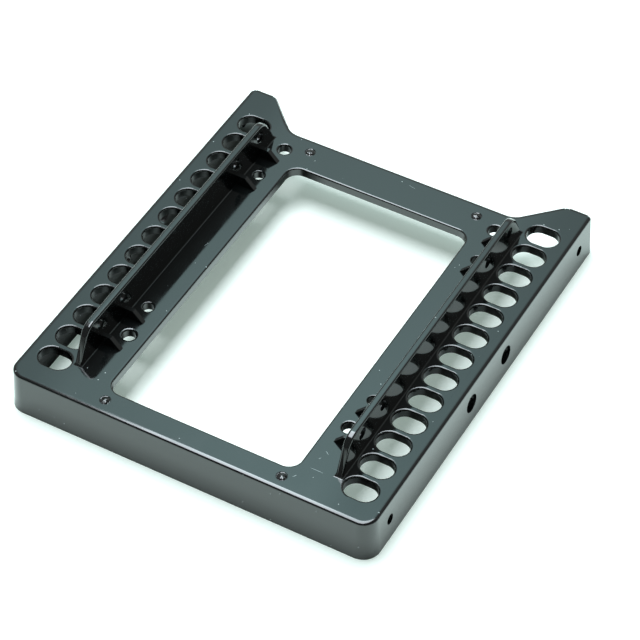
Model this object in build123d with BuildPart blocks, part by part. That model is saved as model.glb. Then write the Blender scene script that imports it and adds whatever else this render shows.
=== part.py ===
from build123d import *
from math import radians, tan
import os

# All sizes are in mm. The bracket is built from the inside out, round the drive that it holds.
# Ribs that take the sides of a 2.5 inch drive
drive_w = 69.85
drive_gap = 0.3
rib_t = 1.9
rib_h = 9.6
rib_front = 10.0
rib_front_run = 4.4
rib_front_r = 4.2
rib_behind = 3.9
rib_back_run = 5.2
rib_back_r = 4.5
rib_edge = 0.45
rib_foot = 0.3

# Drive screw holes in the plate: an outer set of four on the drive's standard places, and an inner set
outer_in = 4.065
outer_front = 24.9
outer_pitch = 76.6
outer_behind = 6.72
outer_r = 1.75
outer_rim = 0.45
inner_in = 3.175
inner_after = 10.4
inner_before = 11.8
inner_r = 1.5
inner_rim = 0.35

# Gussets in the corner of rib and plate, which hold the drive up, and the rib holes above them
gusset_t = 1.2
gusset_h = 3.0
gusset_top = 2.7
gusset_foot = 5.5
gusset_ahead = 5.1
rib_hole_r = 1.6
rib_hole_up = 3.4

# Cooling slots between the ribs and the side walls, as many as the length takes
slot_l = 8.6
slot_w = 6.3
slot_pitch = 8.0
slot_front = 9.55
slot_behind = 12.6
slot_to_rib = 0.975
slot_to_side = 4.1
slot_rim = 0.45

# Plate and walls: the outside leans in towards the top by the draft angle
plate_top = 12.2
plate_t = 2.4
wall_t = 2.0
draft = 3.0
front_corner_r = 4.6
back_corner_r = 1.9
top_edge = 0.65

# Ears past the back edge of the plate
ear_reach = 10.3
ear_flat = 8.0
ear_root_r = 4.4
ear_tip_r = 3.0

# Open window in the plate
window_to_hole = 4.81
window_front = 7.1
window_behind = 11.1
window_r = 3.5
window_rim = 0.45

# Screw holes in the side walls on the standard places of a 3.5 inch drive
bay_pitch = 101.6
bay_step = 41.6
bay_shift = 0.74
bay_z = 6.35
bay_small_r = 1.4
bay_big_r = 2.5

# Moulding gate marks in the margins of the window: a shallow recess with the stub of the runner
gate_in = 1.65
gate_front = 3.9
gate_behind = 4.4
gate_r = 1.45
gate_depth = 0.3
stub_r = 0.55
stub_h = 0.4
stub_sides = 5
stub_taper = 20

# Across: ribs, slots and walls add up to the 101.6 mm of a 3.5 inch drive at the lower edge
sides = (-1, 1)
rib_x = drive_w / 2 + drive_gap
rib_mid_x = rib_x + rib_t / 2
slot_x = rib_x + rib_t + slot_to_rib + slot_l / 2
width = 2 * (slot_x + slot_l / 2 + slot_to_side)
outer_x = drive_w / 2 - outer_in
inner_x = drive_w / 2 - inner_in
window_w = 2 * (outer_x - window_to_hole)
gate_x = window_w / 2 - gate_in
ear_inner_x = width / 2 - ear_flat
ear_root_x = ear_inner_x - ear_reach

# Along: places in the plate are measured from the top's front edge or from the plate's back edge
plate_under = plate_top - plate_t
rib_top = plate_top + rib_h
lean = plate_top * tan(radians(draft))
plate_l = outer_front + outer_pitch + outer_behind
length = plate_l + ear_reach + 2 * lean
front_y = lean - length / 2
plate_back = front_y + plate_l
foot_back = length / 2
root_back = foot_back - ear_reach
outer_rows = [front_y + outer_front, plate_back - outer_behind]
inner_rows = [outer_rows[0] + inner_after, outer_rows[1] - inner_before]
rib_start = front_y + rib_front
rib_end = plate_back - rib_behind
window_start = front_y + window_front
window_l = plate_back - window_behind - window_start
slot_start = front_y + slot_front
slot_count = 1 + int((foot_back - lean - slot_behind - slot_start) / slot_pitch)

with BuildPart() as bracket:
    # Plate and walls start as one drafted block of the full outline
    with BuildSketch():
        with BuildLine():
            FilletPolyline(
                (-width / 2, -length / 2),
                (width / 2, -length / 2),
                (width / 2, foot_back),
                (ear_inner_x, foot_back),
                (ear_root_x, root_back),
                (-ear_root_x, root_back),
                (-ear_inner_x, foot_back),
                (-width / 2, foot_back),
                radius=[
                    front_corner_r,
                    front_corner_r,
                    back_corner_r,
                    ear_tip_r,
                    ear_root_r,
                    ear_root_r,
                    ear_tip_r,
                    back_corner_r,
                ],
                close=True,
            )
        make_face()
    extrude(amount=plate_top, taper=draft)
    chamfer(bracket.faces().sort_by(Axis.Z)[-1].edges(), top_edge)

    # Hollow underneath, open at the back
    with BuildSketch() as hollow:
        with Locations((0, wall_t - length / 2)):
            Rectangle(width - 2 * wall_t, 2 * length, align=(Align.CENTER, Align.MIN))
        fillet(hollow.vertices().group_by(Axis.Y)[0], front_corner_r - wall_t)
    extrude(amount=plate_under, taper=draft, mode=Mode.SUBTRACT)

    # Window through the plate, with a bevelled rim
    with BuildSketch(Plane.XY.offset(plate_under)):
        with Locations((0, window_start + window_l / 2)):
            RectangleRounded(window_w, window_l, window_r)
    extrude(amount=plate_t, mode=Mode.SUBTRACT)
    chamfer(bracket.edges(Select.LAST).group_by(Axis.Z)[-1], window_rim)

    # Cooling slots with bevelled rims
    with BuildSketch(Plane.XY.offset(plate_under)):
        for side in sides:
            with Locations((side * slot_x, slot_start + slot_pitch * (slot_count - 1) / 2)):
                with GridLocations(0, slot_pitch, 1, slot_count):
                    SlotOverall(slot_l, slot_w)
    extrude(amount=plate_t, mode=Mode.SUBTRACT)
    chamfer(bracket.edges(Select.LAST).group_by(Axis.Z)[-1], slot_rim)

    # Drive screw holes with bevelled rims
    for hole_x, rows, hole_r, rim in (
        (outer_x, outer_rows, outer_r, outer_rim),
        (inner_x, inner_rows, inner_r, inner_rim),
    ):
        with Locations([(side * hole_x, row, plate_top) for side in sides for row in rows]):
            Hole(hole_r, plate_t)
        chamfer(bracket.edges(Select.LAST).group_by(Axis.Z)[-1], rim)

    # Upright ribs with a sloped end at the front and a rounded one at the back
    for side in sides:
        with BuildSketch(Plane.YZ.offset(side * rib_mid_x)):
            with BuildLine():
                FilletPolyline(
                    (rib_start, plate_top),
                    (rib_start + rib_front_run, rib_top),
                    (rib_end - rib_back_run, rib_top),
                    (rib_end, plate_top),
                    radius=[rib_front_r, rib_back_r],
                )
                Polyline(
                    (rib_end, plate_top),
                    (rib_end, plate_under),
                    (rib_start, plate_under),
                    (rib_start, plate_top),
                )
            make_face()
        extrude(amount=rib_t / 2, both=True)
        # Bevels along the foot of its long sides, then along its upper edges
        foot_zone = (plate_top - rib_foot, plate_top + rib_foot)
        foot = bracket.edges(Select.LAST).filter_by_position(Axis.Z, *foot_zone)
        chamfer(foot, rib_foot)
        rib_zone = (side * rib_mid_x - rib_t, side * rib_mid_x + rib_t)
        rib_edges = bracket.edges().filter_by_position(Axis.X, *rib_zone)
        upper = rib_edges.filter_by(lambda e: e.center().Z > plate_top + rib_edge)
        chamfer(upper.filter_by(lambda e: e.bounding_box().size.X < rib_t / 2), rib_edge)

    # A gusset on the drive's side of each rib, and a screw hole through the rib above it
    for row in outer_rows + inner_rows:
        with BuildSketch(Plane.XZ.offset(gusset_ahead - row)):
            for side in sides:
                with BuildLine():
                    Polyline(
                        (side * rib_mid_x, plate_under),
                        (side * rib_mid_x, plate_top + gusset_h),
                        (side * (rib_x - gusset_top), plate_top + gusset_h),
                        (side * (rib_x - gusset_foot), plate_top),
                        (side * (rib_x - gusset_foot), plate_under),
                        close=True,
                    )
                make_face()
        extrude(amount=gusset_t / 2, both=True)
        with BuildSketch(Plane.YZ):
            with Locations((row - gusset_ahead, plate_top + gusset_h + rib_hole_up)):
                Circle(rib_hole_r)
        extrude(amount=width, both=True, mode=Mode.SUBTRACT)

    # Screw holes through the side walls, a large one inside each small one
    with BuildSketch(Plane.YZ):
        with Locations((bay_shift - bay_pitch / 2, bay_z), (bay_shift + bay_pitch / 2, bay_z)):
            Circle(bay_small_r)
        with Locations(
            (bay_shift - bay_pitch / 2 + bay_step, bay_z),
            (bay_shift + bay_pitch / 2 - bay_step, bay_z),
        ):
            Circle(bay_big_r)
    extrude(amount=width, both=True, mode=Mode.SUBTRACT)

    # Gate marks in the plate's front and back margins
    gate_rows = (front_y + gate_front, plate_back - gate_behind)
    gates = [(side * gate_x, row) for side in sides for row in gate_rows]
    with BuildSketch(Plane.XY.offset(plate_top)):
        with Locations(gates):
            Circle(gate_r)
    extrude(amount=-gate_depth, mode=Mode.SUBTRACT)
    with BuildSketch(Plane.XY.offset(plate_top - gate_depth)):
        with Locations(gates):
            RegularPolygon(stub_r, stub_sides)
    extrude(amount=stub_h, taper=stub_taper)

bracket.part.label = "bracket"
os.makedirs("parts", exist_ok=True)
export_step(bracket.part, "parts/bracket.step")
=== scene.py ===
from math import cos, radians, tan
from random import Random

import bmesh
import bpy
from mathutils import Matrix, Vector


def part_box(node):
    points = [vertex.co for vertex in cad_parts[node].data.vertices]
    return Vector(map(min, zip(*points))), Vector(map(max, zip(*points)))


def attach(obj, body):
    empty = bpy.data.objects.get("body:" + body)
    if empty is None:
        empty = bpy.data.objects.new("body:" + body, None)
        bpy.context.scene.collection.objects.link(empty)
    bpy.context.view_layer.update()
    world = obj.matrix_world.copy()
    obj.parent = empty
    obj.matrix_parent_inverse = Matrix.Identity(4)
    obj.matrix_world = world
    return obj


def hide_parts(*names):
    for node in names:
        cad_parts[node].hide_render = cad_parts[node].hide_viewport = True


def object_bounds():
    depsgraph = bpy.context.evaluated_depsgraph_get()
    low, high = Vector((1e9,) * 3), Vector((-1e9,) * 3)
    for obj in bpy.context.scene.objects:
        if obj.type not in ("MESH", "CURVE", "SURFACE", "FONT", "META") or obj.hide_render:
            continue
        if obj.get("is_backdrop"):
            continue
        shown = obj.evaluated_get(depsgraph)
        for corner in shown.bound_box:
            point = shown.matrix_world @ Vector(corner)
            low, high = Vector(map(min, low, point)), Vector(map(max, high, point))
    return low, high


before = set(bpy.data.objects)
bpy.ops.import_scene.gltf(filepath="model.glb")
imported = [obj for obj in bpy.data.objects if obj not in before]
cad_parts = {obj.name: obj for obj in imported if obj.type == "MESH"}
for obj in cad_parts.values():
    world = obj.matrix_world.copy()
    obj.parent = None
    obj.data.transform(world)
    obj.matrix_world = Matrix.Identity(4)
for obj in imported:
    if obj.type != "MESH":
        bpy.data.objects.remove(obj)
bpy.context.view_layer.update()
mm = 0.001
plateTop = 12.2 * mm


def toLinear(hexColour):
    # sRGB hex to the linear colour that nodes and lamps take
    channels = [int(hexColour[i:i + 2], 16) / 255 for i in (1, 3, 5)]
    return [c / 12.92 if c <= 0.04045 else ((c + 0.055) / 1.055) ** 2.4 for c in channels] + [1.0]


def addNode(tree, kind, settings=None, **inputs):
    # one node with its settings; an input is a value, or a link where it is another node's socket,
    # and _0, _1 and so on name an input by its number
    node = tree.nodes.new(kind)
    for name, value in (settings or {}).items():
        setattr(node, name, value)
    for name, value in inputs.items():
        socket = node.inputs[int(name[1:])] if name[1:].isdigit() else node.inputs[name.replace("_", " ")]
        if isinstance(value, bpy.types.NodeSocket):
            tree.links.new(value, socket)
        else:
            socket.default_value = value
    return node


def newMaterial(name):
    material = bpy.data.materials.new(name)
    material.use_nodes = True
    material.node_tree.nodes.clear()
    return material, material.node_tree


# Camera, at the photograph's viewing angle
camera = {
    "azimuth": 29.27,    # these three are in degrees
    "elevation": 46.37,
    "roll": 0.085,
    "place": (237.5 * mm, -417.4 * mm, 505.7 * mm),
    "lens": 155.69,      # in the lens's own millimetres, like the sensor's width
    "sensor": 36.0,
    "nearest": 10 * mm,
}


def lookingFrom(azimuth, elevation):
    # turned like a camera that looks at the bracket from that side; azimuth 0 looks along +Y
    return Matrix.Rotation(radians(azimuth), 4, "Z") @ Matrix.Rotation(radians(90 - elevation), 4, "X")


def makeCamera(c):
    data = bpy.data.cameras.new("camera")
    data.lens = c["lens"]
    data.sensor_width = c["sensor"]
    data.clip_start = c["nearest"]
    eye = bpy.data.objects.new("camera", data)
    roll = Matrix.Rotation(radians(c["roll"]), 4, "Z")
    eye.matrix_world = Matrix.Translation(c["place"]) @ lookingFrom(c["azimuth"], c["elevation"]) @ roll
    bpy.context.collection.objects.link(eye)
    bpy.context.scene.camera = eye


makeCamera(camera)
print("camera done")

# Bracket: the moulding's own shape, with its narrow bevels turned into the round edges that the tool gives
moulding = {
    "merge": 0.001 * mm,          # corners of the CAD's triangles that are as near as this become one
    "sharpOver": 46.8,            # degrees: edges above this angle stay sharp
    "sameFlat": 0.3,              # degrees that a flat stretch turns from its first face
    "sameSurface": 26.0,          # degrees that a curved surface or a bevel turns from face to face
    "clearlyLarger": 3.5,         # a flat stretch this many times the next one's size keeps its own normal
    "bevelNormal": (0.66, 0.76),  # a bevel's normal has such a part along Z or X
    "bevelBend": (35.0, 55.0),    # degrees between a bevel and what lies beside it
    "shortestRim": 5 * mm,        # all the way round a bevel
    "acrossBevel": 60.0,          # degrees between the surfaces that an edge across a bevel joins
    "steps": 5,                   # facets across a round edge
    "flatNormal": 0.9,            # a level face's normal has a larger part along Z
    # a leg longer than the first number is stretched by the second in a level face, by the third elsewhere
    "widen": ((0.60 * mm, 1.85, 1.0), (0.40 * mm, 1.42, 1.1)),
}


def spread(start, allowed):
    # the faces that can be reached from one face over edges that are allowed, in the same order each run
    found, todo = {start: True}, [start]
    while todo:
        face = todo.pop()
        for edge in face.edges:
            for other in edge.link_faces:
                if other not in found and allowed(face, other):
                    found[other] = True
                    todo.append(other)
    return found


def findStretches(bm, angle, whole):
    # area and normal of the stretch that each face lies in: a flat one holds to its first face's normal
    stretches, limit = {}, cos(radians(angle))
    for face in sorted(bm.faces, key=lambda f: -f.calc_area()):
        if face not in stretches:
            group = spread(face, lambda a, b: b not in stretches
                           and (a if whole else face).normal.dot(b.normal) > limit)
            stretch = (sum(f.calc_area() for f in group), face.normal.copy().freeze(), face.index)
            stretches.update((member, stretch) for member in group)
    return stretches


def cornerNormals(bm, s):
    # a corner takes the normal of the large surface that it lies on,
    # so that a bevel turns from that surface to the next
    flats = findStretches(bm, s["sameFlat"], False)
    surfaces = findStretches(bm, s["sameSurface"], True)
    smooth = {edge for edge in bm.edges
              if edge.is_manifold and edge.calc_face_angle() < radians(s["sharpOver"])}
    normals = {}
    for face in bm.faces:
        for corner in face.loops:
            fan = spread(face, lambda a, b: any(
                corner.vert in e.verts and b in e.link_faces and e in smooth for e in a.edges))
            sizes = sorted({flats[f] for f in fan}, key=lambda flat: -flat[0])
            if len(sizes) == 1 or sizes[0][0] > s["clearlyLarger"] * sizes[1][0]:
                normals[face, corner.vert] = sizes[0][1]
                continue
            main = max((surfaces[f] for f in fan), key=lambda surface: surface[0])
            total = Vector()
            for member in fan:
                if surfaces[member] == main:
                    own = next(c for c in member.loops if c.vert == corner.vert)
                    total += member.normal * own.calc_angle()
            normals[face, corner.vert] = total.normalized()
    return normals


def findBevels(bm, s):
    # strips of faces at 45 degrees that meet most of what lies beside them at 45 degrees
    low, high = s["bevelNormal"]
    bend = [radians(angle) for angle in s["bevelBend"]]
    limit = cos(radians(s["sameSurface"]))
    slanted = {f for f in bm.faces if low < abs(f.normal.z) < high or low < abs(f.normal.x) < high}
    strips = []
    while slanted:
        first = min(slanted, key=lambda f: f.index)
        strip = spread(first, lambda a, b: b in slanted and a.normal.dot(b.normal) > limit)
        slanted.difference_update(strip)
        rim = [e for f in strip for e in f.edges if sum(other in strip for other in e.link_faces) == 1]
        bent = [e.calc_length() for e in rim if bend[0] < e.calc_face_angle() < bend[1]]
        whole = sum(e.calc_length() for e in rim)
        if whole > s["shortestRim"] and 2 * sum(bent) > whole:
            strips.append(strip)
    return strips


def roundBevel(strip, normals, s):
    # cuts a flat strip along its length and lifts the cuts onto the curve between the surfaces beside it
    own = {c.vert: normals.get((f, c.vert), f.normal) for f in strip for c in f.loops}
    across = {f: [e for e in f.edges if own[e.verts[0]].angle(own[e.verts[1]]) > radians(s["acrossBevel"])]
              for f in sorted(strip, key=lambda f: f.index)}
    edges = sorted(dict.fromkeys(e for pair in across.values() for e in pair), key=lambda e: e.index)
    legs = {}
    for edge in edges:
        for vert in edge.verts:
            outwards = own[vert].cross(own[edge.verts[0]].cross(own[edge.verts[1]])).normalized()
            leg = (vert.co - edge.other_vert(vert).co).dot(outwards) * outwards
            if vert not in legs or leg.length < legs[vert].length:
                legs[vert] = leg
    for vert, leg in legs.items():
        level = 1 if abs(own[vert].z) > s["flatNormal"] else 2
        factor = next((row[level] for row in s["widen"] if leg.length > row[0]), 1.0)
        vert.co += (factor - 1) * leg
        legs[vert] = factor * leg
    cuts = {}
    for edge in edges:
        first, last = sorted(edge.verts, key=lambda v: -abs(own[v].z))
        start, end = first.co.copy(), last.co.copy()
        corner = (start - legs[first] + end - legs[last]) / 2
        cuts[edge], before = [], first
        for i in range(1, s["steps"]):
            t = i / s["steps"]
            before = bmesh.utils.edge_split(edge, before, 0.5)[1]
            before.co = (1 - t) ** 2 * start + 2 * t * (1 - t) * corner + t ** 2 * end
            own[before] = ((1 - t) * legs[first].length * own[first]
                           + t * legs[last].length * own[last]).normalized()
            cuts[edge].append(before)
    pieces = set(strip)
    for pair in across.values():
        if len(pair) == 2:
            for one, two in zip(cuts[pair[0]], cuts[pair[1]]):
                shared = [f for f in one.link_faces if two in f.verts]
                if shared:
                    pieces.add(bmesh.utils.face_split(shared[0], one, two)[0])
    for face in pieces:
        for corner in face.loops:
            normals[face, corner.vert] = own[corner.vert]


# Gate marks: where the plastic came in, a shallow dish round the uneven dome left by the cut runner
gateMarks = {
    "aside": 24.4 * mm,              # on both sides of the middle
    "fromFront": 3.9 * mm,           # from the front edge of the top
    "fromEars": 14.7 * mm,           # from the ears' ends, at the top
    "draft": 3.0,                    # degrees that the walls lean in
    "within": 1.46 * mm,             # the CAD's mark lies inside this radius
    "heights": (-0.4 * mm, 0.2 * mm),  # and between these heights over the plate
    "facesUp": 0.5,                  # a face looks up if its normal has a larger part along Z
    # radius of each ring, and its height over the plate
    "rings": [(radius * mm, height * mm) for radius, height in (
        (1.45, -0.10), (1.32, -0.18), (1.18, -0.16), (1.04, 0.02), (0.76, 0.17), (0.40, 0.26))],
    "evenRings": 2,                  # so many outer rings stay round and level
    "uneven": 0.07 * mm,             # how far the corners of the others stray
    "seed": 11,
}


def shapeGateMarks(bm, s):
    # in place of the CAD's plain mark: rings, drawn inwards one after another, that close in the middle
    draw = Random(s["seed"])
    low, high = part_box("bracket")
    lean = plateTop * tan(radians(s["draft"]))
    rows = (low.y + lean + s["fromFront"], high.y - lean - s["fromEars"])
    for place in [(side * s["aside"], row) for side in (-1, 1) for row in rows]:
        middle = Vector((*place, plateTop))
        inside = {v for v in bm.verts if s["heights"][0] < v.co.z - plateTop < s["heights"][1]
                  and (v.co - middle).xy.length < s["within"]}
        # its floor and stub, but not the wall round it
        pit = [f for f in bm.faces if inside.issuperset(f.verts) and (
            f.normal.z > s["facesUp"]
            or min((v.co - middle).xy.length for v in f.verts) < s["rings"][1][0])]
        edges = [e for f in pit for e in f.edges if sum(other in pit for other in e.link_faces) == 1]
        bmesh.ops.delete(bm, geom=pit, context="FACES")
        verts = list(dict.fromkeys(v for e in edges for v in e.verts))
        for number, (radius, height) in enumerate(s["rings"]):
            if number:
                made = bmesh.ops.extrude_edge_only(bm, edges=edges)["geom"]
                verts = [v for v in made if isinstance(v, bmesh.types.BMVert)]
                edges = [e for e in made
                         if isinstance(e, bmesh.types.BMEdge) and set(e.verts) <= set(verts)]
            rough = s["uneven"] if number >= s["evenRings"] else 0
            for v in verts:
                out = (v.co - middle).xy.normalized() * (radius + draw.uniform(-rough, rough))
                v.co = middle + Vector((*out, height + draw.uniform(-rough, rough)))
        bmesh.ops.pointmerge(bm, verts=verts, merge_co=middle + Vector((0, 0, s["rings"][-1][1])))
    bmesh.ops.recalc_face_normals(bm, faces=bm.faces)


def makeBody(s):
    bm = bmesh.new()
    bm.from_mesh(bpy.data.objects["bracket"].data)
    bmesh.ops.remove_doubles(bm, verts=bm.verts, dist=s["merge"])
    shapeGateMarks(bm, gateMarks)
    bm.normal_update()
    bm.faces.index_update()
    bm.edges.index_update()
    normals = cornerNormals(bm, s)
    strips = findBevels(bm, s)
    for strip in strips:
        roundBevel(strip, normals, s)
    print("bevels made round:", len(strips), "faces:", len(bm.faces))
    for face in bm.faces:
        face.smooth = True
        face.material_index = 0
    mesh = bpy.data.meshes.new("bracketBody")
    corners = [normals.get((face, corner.vert), face.normal) for face in bm.faces for corner in face.loops]
    bm.to_mesh(mesh)
    bm.free()
    mesh.normals_split_custom_set(corners)
    body = bpy.data.objects.new("bracketBody", mesh)
    bpy.context.collection.objects.link(body)
    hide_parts("bracket")
    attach(body, "root")
    return body


bracketBody = makeBody(moulding)
print("bracket done")

# Glossy black ABS: injection moulded in a polished tool, so that it mirrors what stands around it.
# The faces draw in a little as they cool, which bends the reflections, and a used part carries dust
# and hairline scratches.
blackAbs = {
    "colour": "#090B0B",
    "ior": 1.62,                    # ABS has about 1.54; this follows the strength of the reflections
    "sinkWaves": {"Scale": 1 / (16 * mm), "Detail": 1.0},  # the slow waves of the cooled faces
    "sinkDepth": 0.012 * mm,
    "skinWaves": {"Scale": 1 / (1.3 * mm), "Detail": 2.0},  # fine unevenness of the skin
    "skinDepth": 0.0006 * mm,
    "smears": {"Scale": 1 / (9 * mm), "Detail": 4.0},  # faint hazy patches left by handling
    # roughness of the skin, from clean to the middle of a smear
    "haze": {"From_Min": 0.35, "From_Max": 0.70, "To_Min": 0.07, "To_Max": 0.13},
    # level of the gloss, lowered from the middle to the strips beyond the slots: painted shade on the
    # top's outer strips
    "paintedShadeStrips": {"From_Min": 32 * mm, "From_Max": 45 * mm, "To_Min": 0.50, "To_Max": 0.39},
    "dustApart": 1 / (2.4 * mm),
    # a grain fades out between these shares of the distance from one to the next
    "dustSize": {"From_Min": 0.045, "From_Max": 0.075, "To_Min": 1.0, "To_Max": 0.0},
    "dustShare": 0.66,              # this share of the places stays clean
    "dustColour": "#949E9C",
    "scratchColour": "#7C8888",
    # a scratch fades out between these shares of its own size
    "scratchEdge": {"From_Min": 0.6, "From_Max": 1.0, "To_Min": 1.0, "To_Max": 0.0},
    "markRoughness": 0.6,           # of dust and scratches
    "scratches": [                  # middle, length and width in mm, and turn in degrees
        ((30.7, -49.8), 3.9, 0.16, 0), ((27.0, -53.8), 1.3, 0.20, 57), ((30.2, -43.9), 1.4, 0.16, -34),
        ((29.5, -46.2), 0.7, 0.18, 63), ((39.0, -37.5), 0.5, 0.40, 20), ((49.4, -53.9), 0.5, 0.45, 0),
        ((-20.0, -52.0), 2.4, 0.10, 28), ((5.0, 46.0), 2.8, 0.10, -12), ((-30.5, 2.0), 2.0, 0.10, 75),
    ],
    "deep": 0.3 * mm,               # scratches and the strips of painted shade reach this far below the plate's top
}


def makeBlackAbs(s):
    material, tree = newMaterial("glossyBlackAbs")
    place = addNode(tree, "ShaderNodeTexCoord").outputs["Object"]
    sink = addNode(tree, "ShaderNodeTexNoise", Vector=place, **s["sinkWaves"])
    skin = addNode(tree, "ShaderNodeTexNoise", Vector=place, **s["skinWaves"])
    waves = addNode(tree, "ShaderNodeBump", Height=sink.outputs[0], Strength=1.0, Distance=s["sinkDepth"])
    bump = addNode(tree, "ShaderNodeBump", Height=skin.outputs[0], Strength=1.0, Distance=s["skinDepth"],
                   Normal=waves.outputs[0])
    smears = addNode(tree, "ShaderNodeTexNoise", Vector=place, **s["smears"])
    haze = addNode(tree, "ShaderNodeMapRange", Value=smears.outputs[0], **s["haze"])
    grains = addNode(tree, "ShaderNodeTexVoronoi", Vector=place, Scale=s["dustApart"])
    grain = addNode(tree, "ShaderNodeMapRange", Value=grains.outputs["Distance"], **s["dustSize"])
    chance = addNode(tree, "ShaderNodeSeparateColor", _0=grains.outputs["Color"])
    there = addNode(tree, "ShaderNodeMath", {"operation": "GREATER_THAN"}, _0=chance.outputs[0],
                    _1=s["dustShare"])
    dust = addNode(tree, "ShaderNodeMath", {"operation": "MULTIPLY"}, _0=grain.outputs[0],
                   _1=there.outputs[0])
    # each scratch is a thin ellipsoid, lying in the plate's top
    scratched = None
    for (x, y), length, width, turn in s["scratches"]:
        line = addNode(tree, "ShaderNodeMapping", {"vector_type": "TEXTURE"}, Vector=place,
                       Location=(x * mm, y * mm, plateTop), Rotation=(0, 0, radians(turn)),
                       Scale=(length / 2 * mm, width / 2 * mm, s["deep"]))
        away = addNode(tree, "ShaderNodeVectorMath", {"operation": "LENGTH"}, _0=line.outputs[0])
        mark = addNode(tree, "ShaderNodeMapRange", Value=away.outputs["Value"], **s["scratchEdge"])
        scratched = mark if scratched is None else addNode(
            tree, "ShaderNodeMath", {"operation": "MAXIMUM"}, _0=scratched.outputs[0], _1=mark.outputs[0])
    dusty = addNode(tree, "ShaderNodeMix", {"data_type": "RGBA"}, _0=dust.outputs[0],
                    _6=toLinear(s["colour"]), _7=toLinear(s["dustColour"]))
    colour = addNode(tree, "ShaderNodeMix", {"data_type": "RGBA"}, _0=scratched.outputs[0],
                     _6=dusty.outputs[2], _7=toLinear(s["scratchColour"]))
    marks = addNode(tree, "ShaderNodeMath", {"operation": "MAXIMUM"}, _0=dust.outputs[0],
                    _1=scratched.outputs[0])
    axes = addNode(tree, "ShaderNodeSeparateXYZ", _0=place)
    # painted shade: the top reflects less towards its outer strips beyond the slots
    aside = addNode(tree, "ShaderNodeMath", {"operation": "ABSOLUTE"}, _0=axes.outputs["X"])
    paintedShadeStrips = addNode(tree, "ShaderNodeMapRange", {"interpolation_type": "SMOOTHSTEP"},
                   Value=aside.outputs[0], **s["paintedShadeStrips"])
    raised = addNode(tree, "ShaderNodeMath", {"operation": "GREATER_THAN"}, _0=axes.outputs["Z"],
                     _1=plateTop - s["deep"])
    gloss = addNode(tree, "ShaderNodeMix", {"data_type": "FLOAT"}, _0=raised.outputs[0],
                    _2=s["paintedShadeStrips"]["To_Min"], _3=paintedShadeStrips.outputs[0])
    roughness = addNode(tree, "ShaderNodeMix", {"data_type": "FLOAT"}, _0=marks.outputs[0],
                        _2=haze.outputs[0], _3=s["markRoughness"])
    shader = addNode(tree, "ShaderNodeBsdfPrincipled", Base_Color=colour.outputs[2],
                     Roughness=roughness.outputs[0], IOR=s["ior"], Normal=bump.outputs[0],
                     Specular_IOR_Level=gloss.outputs[0])
    addNode(tree, "ShaderNodeOutputMaterial", Surface=shader.outputs[0])
    return material


bracketBody.data.materials.append(makeBlackAbs(blackAbs))
print("plastic done")

# Floor: a large white sheet that keeps the bracket's shadow, and in the plastic's gloss a painted shade
# under the bracket
floorSheet = {
    "size": 6.0,                            # in metres
    "colour": "#F4F7F5",                    # what the light that falls on the bracket meets
    "lift": (0.20, 0.26, 0.235, 1.0),       # for the camera: stray light of the background in the shadows
    "seen": (0.86, 0.88, 0.83, 1.0),        # for the camera: clips to white, with shadows of a cool grey
    "mirrored": (1.12, 1.23, 1.14, 1.0),    # in the gloss of the plastic
    "underneath": (0.54, 0.59, 0.55, 1.0),  # the same, under the bracket, darkened: painted shade in the gloss of the plastic
    "longer": 9 * mm,                       # the bracket reaches so much further along than across
    "footprint": {"From_Min": 46 * mm, "From_Max": 52 * mm},  # across: from the painted shade under it to the open floor
    "windowLonger": 18 * mm,                # the same for the window, where the light falls through and the painted shade is left out
    "window": {"From_Min": 22 * mm, "From_Max": 27 * mm, "To_Min": 1.0, "To_Max": 0.0},
}


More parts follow.
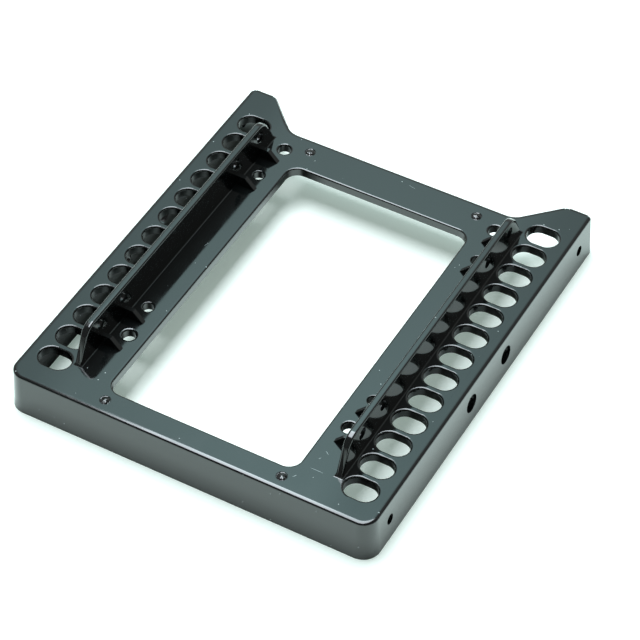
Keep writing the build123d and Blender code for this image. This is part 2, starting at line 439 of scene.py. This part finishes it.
def makeFloor(s):
    material, tree = newMaterial("whiteSheet")
    path = addNode(tree, "ShaderNodeLightPath")
    place = addNode(tree, "ShaderNodeTexCoord")
    axes = addNode(tree, "ShaderNodeSeparateXYZ", _0=place.outputs["Object"])
    across = addNode(tree, "ShaderNodeMath", {"operation": "ABSOLUTE"}, _0=axes.outputs["X"])
    along = addNode(tree, "ShaderNodeMath", {"operation": "ABSOLUTE"}, _0=axes.outputs["Y"])
    further = addNode(tree, "ShaderNodeMath", {"operation": "SUBTRACT"}, _0=along.outputs[0],
                      _1=s["longer"])
    edge = addNode(tree, "ShaderNodeMath", {"operation": "MAXIMUM"}, _0=across.outputs[0],
                   _1=further.outputs[0])
    outside = addNode(tree, "ShaderNodeMapRange", Value=edge.outputs[0], **s["footprint"])
    deeper = addNode(tree, "ShaderNodeMath", {"operation": "SUBTRACT"}, _0=along.outputs[0],
                     _1=s["windowLonger"])
    rim = addNode(tree, "ShaderNodeMath", {"operation": "MAXIMUM"}, _0=across.outputs[0],
                  _1=deeper.outputs[0])
    inside = addNode(tree, "ShaderNodeMapRange", Value=rim.outputs[0], **s["window"])
    lit = addNode(tree, "ShaderNodeMath", {"operation": "MAXIMUM"}, _0=outside.outputs[0],
                  _1=inside.outputs[0])
    # painted shade: in the plastic's gloss the floor is darker under the bracket, but not in its window
    gloss = addNode(tree, "ShaderNodeMix", {"data_type": "RGBA"}, _0=lit.outputs[0], _6=s["underneath"],
                    _7=s["mirrored"])
    mirrored = addNode(tree, "ShaderNodeMix", {"data_type": "RGBA"}, _0=path.outputs["Is Glossy Ray"],
                       _6=toLinear(s["colour"]), _7=gloss.outputs[2])
    seen = addNode(tree, "ShaderNodeMix", {"data_type": "RGBA"}, _0=path.outputs["Is Camera Ray"],
                   _6=mirrored.outputs[2], _7=s["seen"])
    diffuse = addNode(tree, "ShaderNodeBsdfDiffuse", Color=seen.outputs[2])
    lift = addNode(tree, "ShaderNodeEmission", Color=s["lift"], Strength=path.outputs["Is Camera Ray"])
    both = addNode(tree, "ShaderNodeAddShader", _0=diffuse.outputs[0], _1=lift.outputs[0])
    addNode(tree, "ShaderNodeOutputMaterial", Surface=both.outputs[0])
    bpy.ops.mesh.primitive_plane_add(size=s["size"], location=(0, 0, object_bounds()[0][2]))
    sheet = bpy.context.object
    sheet.name = "floor"
    sheet.data.materials.append(material)
    sheet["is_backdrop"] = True


makeFloor(floorSheet)
print("floor done")

# Lights: a strong soft box overhead for the glints, a wide one behind that the top mirrors, and a surround
powerPerRadiance = 4.0   # a rectangle's power in watts, for each square metre and unit of radiance
lamps = {
    "overhead": {
        "azimuth": 236.0,   # degrees, like the elevation and the turn in its own plane
        "elevation": 79.8,
        "turn": -236.0,
        "distance": 1.2,    # metres, like the size
        "size": (0.66, 0.90),
        "radiance": 9.0,
        "colour": "#EEF8FF",
    },
    "behind": {
        "azimuth": 211.0,
        "elevation": 46.4,
        "turn": 0.0,
        "distance": 1.1,
        "size": (0.80, 0.80),
        "radiance": 1.06,
        "colour": "#C8FCFF",
        "middle": 0.47,     # where across its width it is brightest
        "fade": {"From_Min": 0.03, "From_Max": 0.40, "To_Min": 1.12, "To_Max": 0.60},  # out from there
        "upwards": {"To_Min": 0.0, "To_Max": 2.0},  # from its lower edge to its upper one
    },
}
surround = {
    "colour": "#F8FFFC",
    "seen": 1.0,                     # for the camera
    "towards": (-0.49, 0.87, 0.0),   # away from the camera
    # level from the camera's side of the room to the back
    "level": {"From_Min": -0.3, "From_Max": 0.7, "To_Min": 0.17, "To_Max": 0.55},
}


def makeLamp(name, s):
    data = bpy.data.lights.new(name, "AREA")
    data.shape = "RECTANGLE"
    data.size, data.size_y = s["size"]
    data.color = toLinear(s["colour"])[:3]
    data.energy = powerPerRadiance * s["radiance"] * s["size"][0] * s["size"][1]
    if "fade" in s:
        data.use_nodes = True
        tree = data.node_tree
        place = addNode(tree, "ShaderNodeNewGeometry")
        axes = addNode(tree, "ShaderNodeSeparateXYZ", _0=place.outputs["Parametric"])
        offset = addNode(tree, "ShaderNodeMath", {"operation": "SUBTRACT"}, _0=axes.outputs["X"],
                         _1=s["middle"])
        aside = addNode(tree, "ShaderNodeMath", {"operation": "ABSOLUTE"}, _0=offset.outputs[0])
        across = addNode(tree, "ShaderNodeMapRange", {"interpolation_type": "SMOOTHSTEP"},
                         Value=aside.outputs[0], **s["fade"])
        upwards = addNode(tree, "ShaderNodeMapRange", Value=axes.outputs["Y"], **s["upwards"])
        both = addNode(tree, "ShaderNodeMath", {"operation": "MULTIPLY"}, _0=across.outputs[0],
                       _1=upwards.outputs[0])
        glow = tree.nodes["Emission"]
        tree.links.new(both.outputs[0], glow.inputs["Strength"])
    lamp = bpy.data.objects.new(name, data)
    facing = lookingFrom(s["azimuth"], s["elevation"]) @ Matrix.Translation((0, 0, s["distance"]))
    lamp.matrix_world = facing @ Matrix.Rotation(radians(s["turn"]), 4, "Z")
    bpy.context.collection.objects.link(lamp)


def makeSurround(s):
    world = bpy.data.worlds.new("surround")
    world.use_nodes = True
    tree = world.node_tree
    tree.nodes.clear()
    path = addNode(tree, "ShaderNodeLightPath")
    place = addNode(tree, "ShaderNodeTexCoord")
    back = addNode(tree, "ShaderNodeVectorMath", {"operation": "DOT_PRODUCT"},
                   _0=place.outputs["Generated"], _1=s["towards"])
    level = addNode(tree, "ShaderNodeMapRange", {"interpolation_type": "SMOOTHSTEP"},
                    Value=back.outputs["Value"], **s["level"])
    strength = addNode(tree, "ShaderNodeMix", {"data_type": "FLOAT"}, _0=path.outputs["Is Camera Ray"],
                       _2=level.outputs[0], _3=s["seen"])
    glow = addNode(tree, "ShaderNodeBackground", Color=toLinear(s["colour"]), Strength=strength.outputs[0])
    addNode(tree, "ShaderNodeOutputWorld", Surface=glow.outputs[0])
    bpy.context.scene.world = world


for name, settings in lamps.items():
    makeLamp(name, settings)
makeSurround(surround)
print("lights done")

bpy.context.scene.view_settings.view_transform = "Standard"
